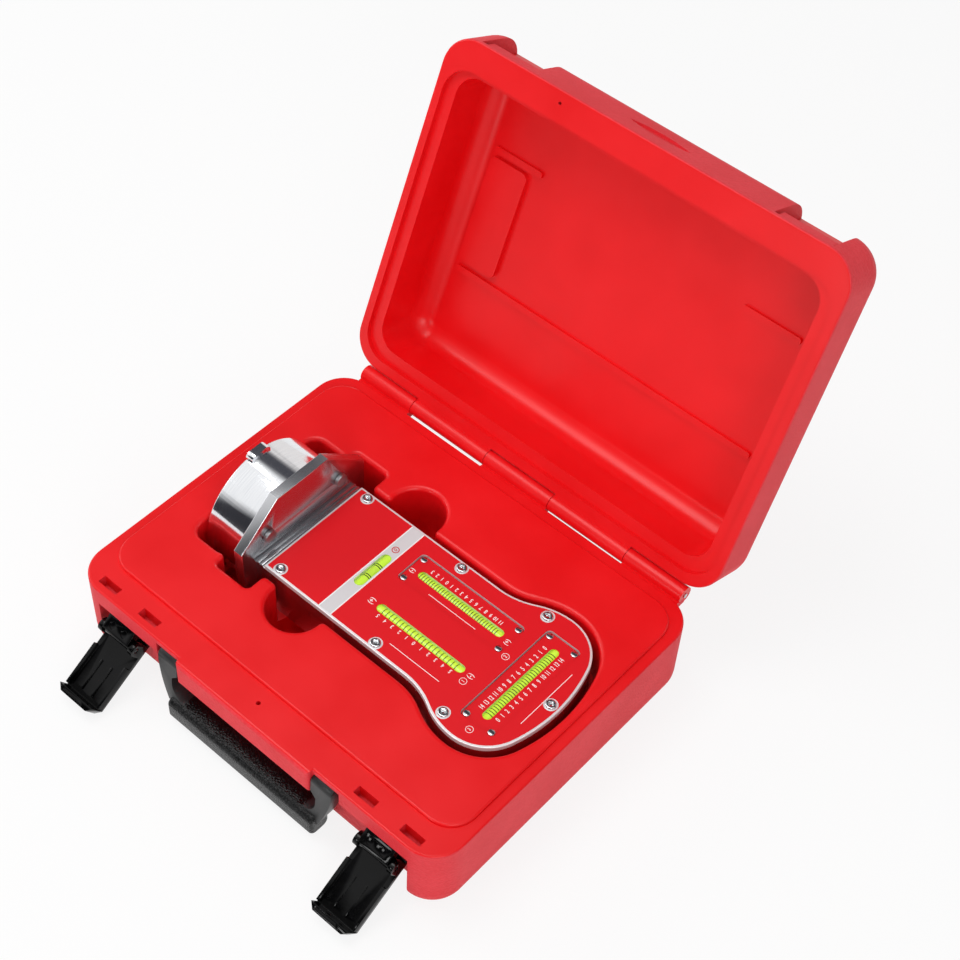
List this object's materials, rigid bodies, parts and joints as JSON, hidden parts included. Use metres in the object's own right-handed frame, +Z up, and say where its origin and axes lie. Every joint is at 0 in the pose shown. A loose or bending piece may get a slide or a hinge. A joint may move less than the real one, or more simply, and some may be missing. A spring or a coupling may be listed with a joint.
{
  "type": "camber caster gauge",
  "caption": "Magnetic wheel-alignment gauge with bubble vials for camber, castor and kingpin angles, lying in its open fitted carrying case with lid, latches and handle",
  "frame": {"origin": "centre of the flat underside of the case base", "axes": "X along the hinge, with the magnet end of the gauge at -X; Y from the front of the case towards the hinge; Z up"},
  "size_m": [0.27, 0.3739, 0.2556],
  "materials": {
    "case_plastic": "blow-moulded polyethylene, red, fine grain outside",
    "handle_plastic": "moulded polypropylene, black, pebbled",
    "latch_plastic": "moulded acetal, black",
    "pin_steel": "drawn steel",
    "screw_steel": "nickel-plated steel",
    "cast_aluminium": "die-cast aluminium, silver paint",
    "plate_aluminium": "anodised aluminium",
    "label_print": "printed polyester film, red",
    "holder_white": "moulded ABS, white",
    "cradle_plastic": "moulded ABS, white",
    "vial_acrylic": "clear acrylic tube",
    "vial_fluid": "yellow-green spirit",
    "knob_brass": "turned brass, knurled",
    "cup_steel": "turned steel, bright nickel",
    "ferrite": "sintered ferrite, dark grey",
    "spring_steel": "spring wire"
  },
  "bodies": {
    "case": {"case_base": "case_plastic", "hinge_pin": "pin_steel"},
    "lid": {"case_lid": "case_plastic"},
    "handle": {"carry_handle": "handle_plastic"},
    "link_left": {"latch_link_left": "latch_plastic"},
    "lever_left": {"latch_lever_left": "latch_plastic"},
    "link_right": {"latch_link_right": "latch_plastic"},
    "lever_right": {"latch_lever_right": "latch_plastic"},
    "gauge": {"gauge_body": "cast_aluminium", "face_plate": "plate_aluminium", "face_label": "label_print", "face_screws": "screw_steel", "camber_holder": "holder_white", "camber_vial": "vial_acrylic", "camber_fluid": "vial_fluid", "level_holder": "holder_white", "level_vial": "vial_acrylic", "level_fluid": "vial_fluid", "magnet_cup": "cup_steel", "ring_magnet": "ferrite", "centre_pole": "cup_steel", "drum_screws": "screw_steel", "castor_pivot_pin": "pin_steel", "kingpin_pivot_pin": "pin_steel", "plunger_spring": "spring_steel"},
    "castor_tilt": {"castor_cradle": "cradle_plastic", "castor_scale": "label_print", "castor_scale_screws": "screw_steel", "castor_vial": "vial_acrylic", "castor_fluid": "vial_fluid"},
    "kingpin_tilt": {"kingpin_cradle": "cradle_plastic", "kingpin_scale": "label_print", "kingpin_scale_screws": "screw_steel", "kingpin_vial": "vial_acrylic", "kingpin_fluid": "vial_fluid"},
    "castor_knob": {"castor_adjuster": "knob_brass"},
    "kingpin_knob": {"kingpin_adjuster": "knob_brass"},
    "plunger": {"centring_plunger": "pin_steel"}
  },
  "joints": [
    {"name": "lid_hinge", "type": "hinge", "parent": "case", "child": "lid", "pos_m": [0, 0.11145, 0.0555], "axis": [-1, 0, 0], "range_deg": [-112.8, 0]},
    {"name": "handle_swing", "type": "hinge", "parent": "case", "child": "handle", "pos_m": [0, -0.103, 0.045], "axis": [-1, 0, 0], "range_deg": [0, 100]},
    {"name": "link_swing_left", "type": "hinge", "parent": "case", "child": "link_left", "pos_m": [-0.097, -0.1022, 0.0365], "axis": [1, 0, 0], "range_deg": [0, 48]},
    {"name": "lever_swing_left", "type": "hinge", "parent": "link_left", "child": "lever_left", "pos_m": [-0.097, -0.10829, 0.03101], "axis": [-1, 0, 0], "range_deg": [0, 170]},
    {"name": "link_swing_right", "type": "hinge", "parent": "case", "child": "link_right", "pos_m": [0.097, -0.1022, 0.0365], "axis": [1, 0, 0], "range_deg": [0, 48]},
    {"name": "lever_swing_right", "type": "hinge", "parent": "link_right", "child": "lever_right", "pos_m": [0.097, -0.10829, 0.03101], "axis": [-1, 0, 0], "range_deg": [0, 170]},
    {"name": "gauge_lift", "type": "slide", "parent": "case", "child": "gauge", "axis": [0, 0, 1], "range_m": [0, 0.16]},
    {"name": "castor_zero", "type": "hinge", "parent": "gauge", "child": "castor_knob", "pos_m": [0.0638, 0.02225, 0.044], "axis": [0, 0, 1], "range_deg": [-720, 720]},
    {"name": "castor_tilt", "type": "hinge", "parent": "gauge", "child": "castor_tilt", "pos_m": [0.0018, 0.02225, 0.044], "axis": [0, -1, 0], "range_deg": [-1.3, 1.3]},
    {"name": "kingpin_zero", "type": "hinge", "parent": "gauge", "child": "kingpin_knob", "pos_m": [0.0934, 0.035, 0.044], "axis": [0, 0, 1], "range_deg": [-720, 720]},
    {"name": "kingpin_tilt", "type": "hinge", "parent": "gauge", "child": "kingpin_tilt", "pos_m": [0.0934, -0.027, 0.044], "axis": [1, 0, 0], "range_deg": [-1.3, 1.3]},
    {"name": "plunger_press", "type": "slide", "parent": "gauge", "child": "plunger", "axis": [1, 0, 0], "range_m": [0, 0.007], "stiffness_N_per_m": 300, "springref_m": -0.004, "deforming": ["plunger_spring"]}
  ],
  "couplings": [
    {"joint": "link_swing_left", "follows": "lever_swing_left", "ratio": 0.28235},
    {"joint": "link_swing_right", "follows": "lever_swing_right", "ratio": 0.28235},
    {"joint": "castor_tilt", "follows": "castor_zero", "ratio": 0.0017969},
    {"joint": "kingpin_tilt", "follows": "kingpin_zero", "ratio": 0.0017969}
  ]
}
